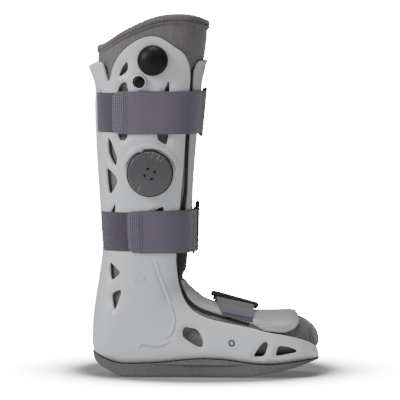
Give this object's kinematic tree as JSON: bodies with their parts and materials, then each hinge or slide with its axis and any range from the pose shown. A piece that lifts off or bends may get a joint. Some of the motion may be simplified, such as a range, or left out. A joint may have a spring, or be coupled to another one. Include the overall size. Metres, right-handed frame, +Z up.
{
  "type": "medical walking boot",
  "caption": "Tall pneumatic walking boot: vented hard shell on a rocker sole, padded liner, ring straps, pump bulb and selector dial.",
  "frame": {"origin": "on the sole's flat underside, under the middle of the boot's length, on the plane that halves the sole", "axes": "+Z up along the leg, +X towards the toes, the side with the pump and the dial faces -Y"},
  "size_m": [0.2787, 0.1347, 0.433],
  "materials": {
    "shell_plastic": "light grey moulded plastic, satin",
    "panel_plastic": "grey moulded plastic, satin",
    "sole_rubber": "grey moulded rubber, matt",
    "pad_fabric": "black padded fabric",
    "liner_fabric": "warm grey brushed padded fabric",
    "binding_fabric": "grey woven binding with cross stitches",
    "webbing": "purple grey loop webbing",
    "hook_tab": "moulded hook tape with a fine grid",
    "black_plastic": "black moulded plastic",
    "bulb_rubber": "black rubber, soft gloss",
    "dial_plastic": "mid grey satin plastic"
  },
  "bodies": {
    "boot": {"outsole": "sole_rubber", "rear_shell": "shell_plastic", "shin_panel": "panel_plastic", "foot_panel": "panel_plastic", "front_pad": "pad_fabric", "liner": "liner_fabric", "liner_collar": "binding_fabric", "upper_strap": "webbing", "upper_strap_inner": "webbing", "upper_tab": "hook_tab", "upper_ring": "black_plastic", "middle_strap": "webbing", "middle_strap_inner": "webbing", "middle_tab": "hook_tab", "middle_ring": "black_plastic", "foot_strap": "webbing", "foot_strap_inner": "webbing", "foot_ring": "black_plastic", "pump_bulb": "bulb_rubber", "valve_collar": "shell_plastic", "dial_seat": "black_plastic", "sole_rivet_outer": "shell_plastic", "sole_rivet_inner": "shell_plastic"},
    "dial": {"selector_dial": "dial_plastic"},
    "button": {"valve_button": "bulb_rubber"}
  },
  "joints": [
    {"name": "dial_turn", "type": "hinge", "parent": "boot", "child": "dial", "pos_m": [-0.065, -0.06, 0.244], "axis": [0, -1, 0], "range_deg": [-90, 90]},
    {"name": "button_press", "type": "slide", "parent": "boot", "child": "button", "axis": [0, 1, 0], "range_m": [0, 0.0025], "stiffness_N_per_m": 400, "springref_m": -0.0005}
  ]
}
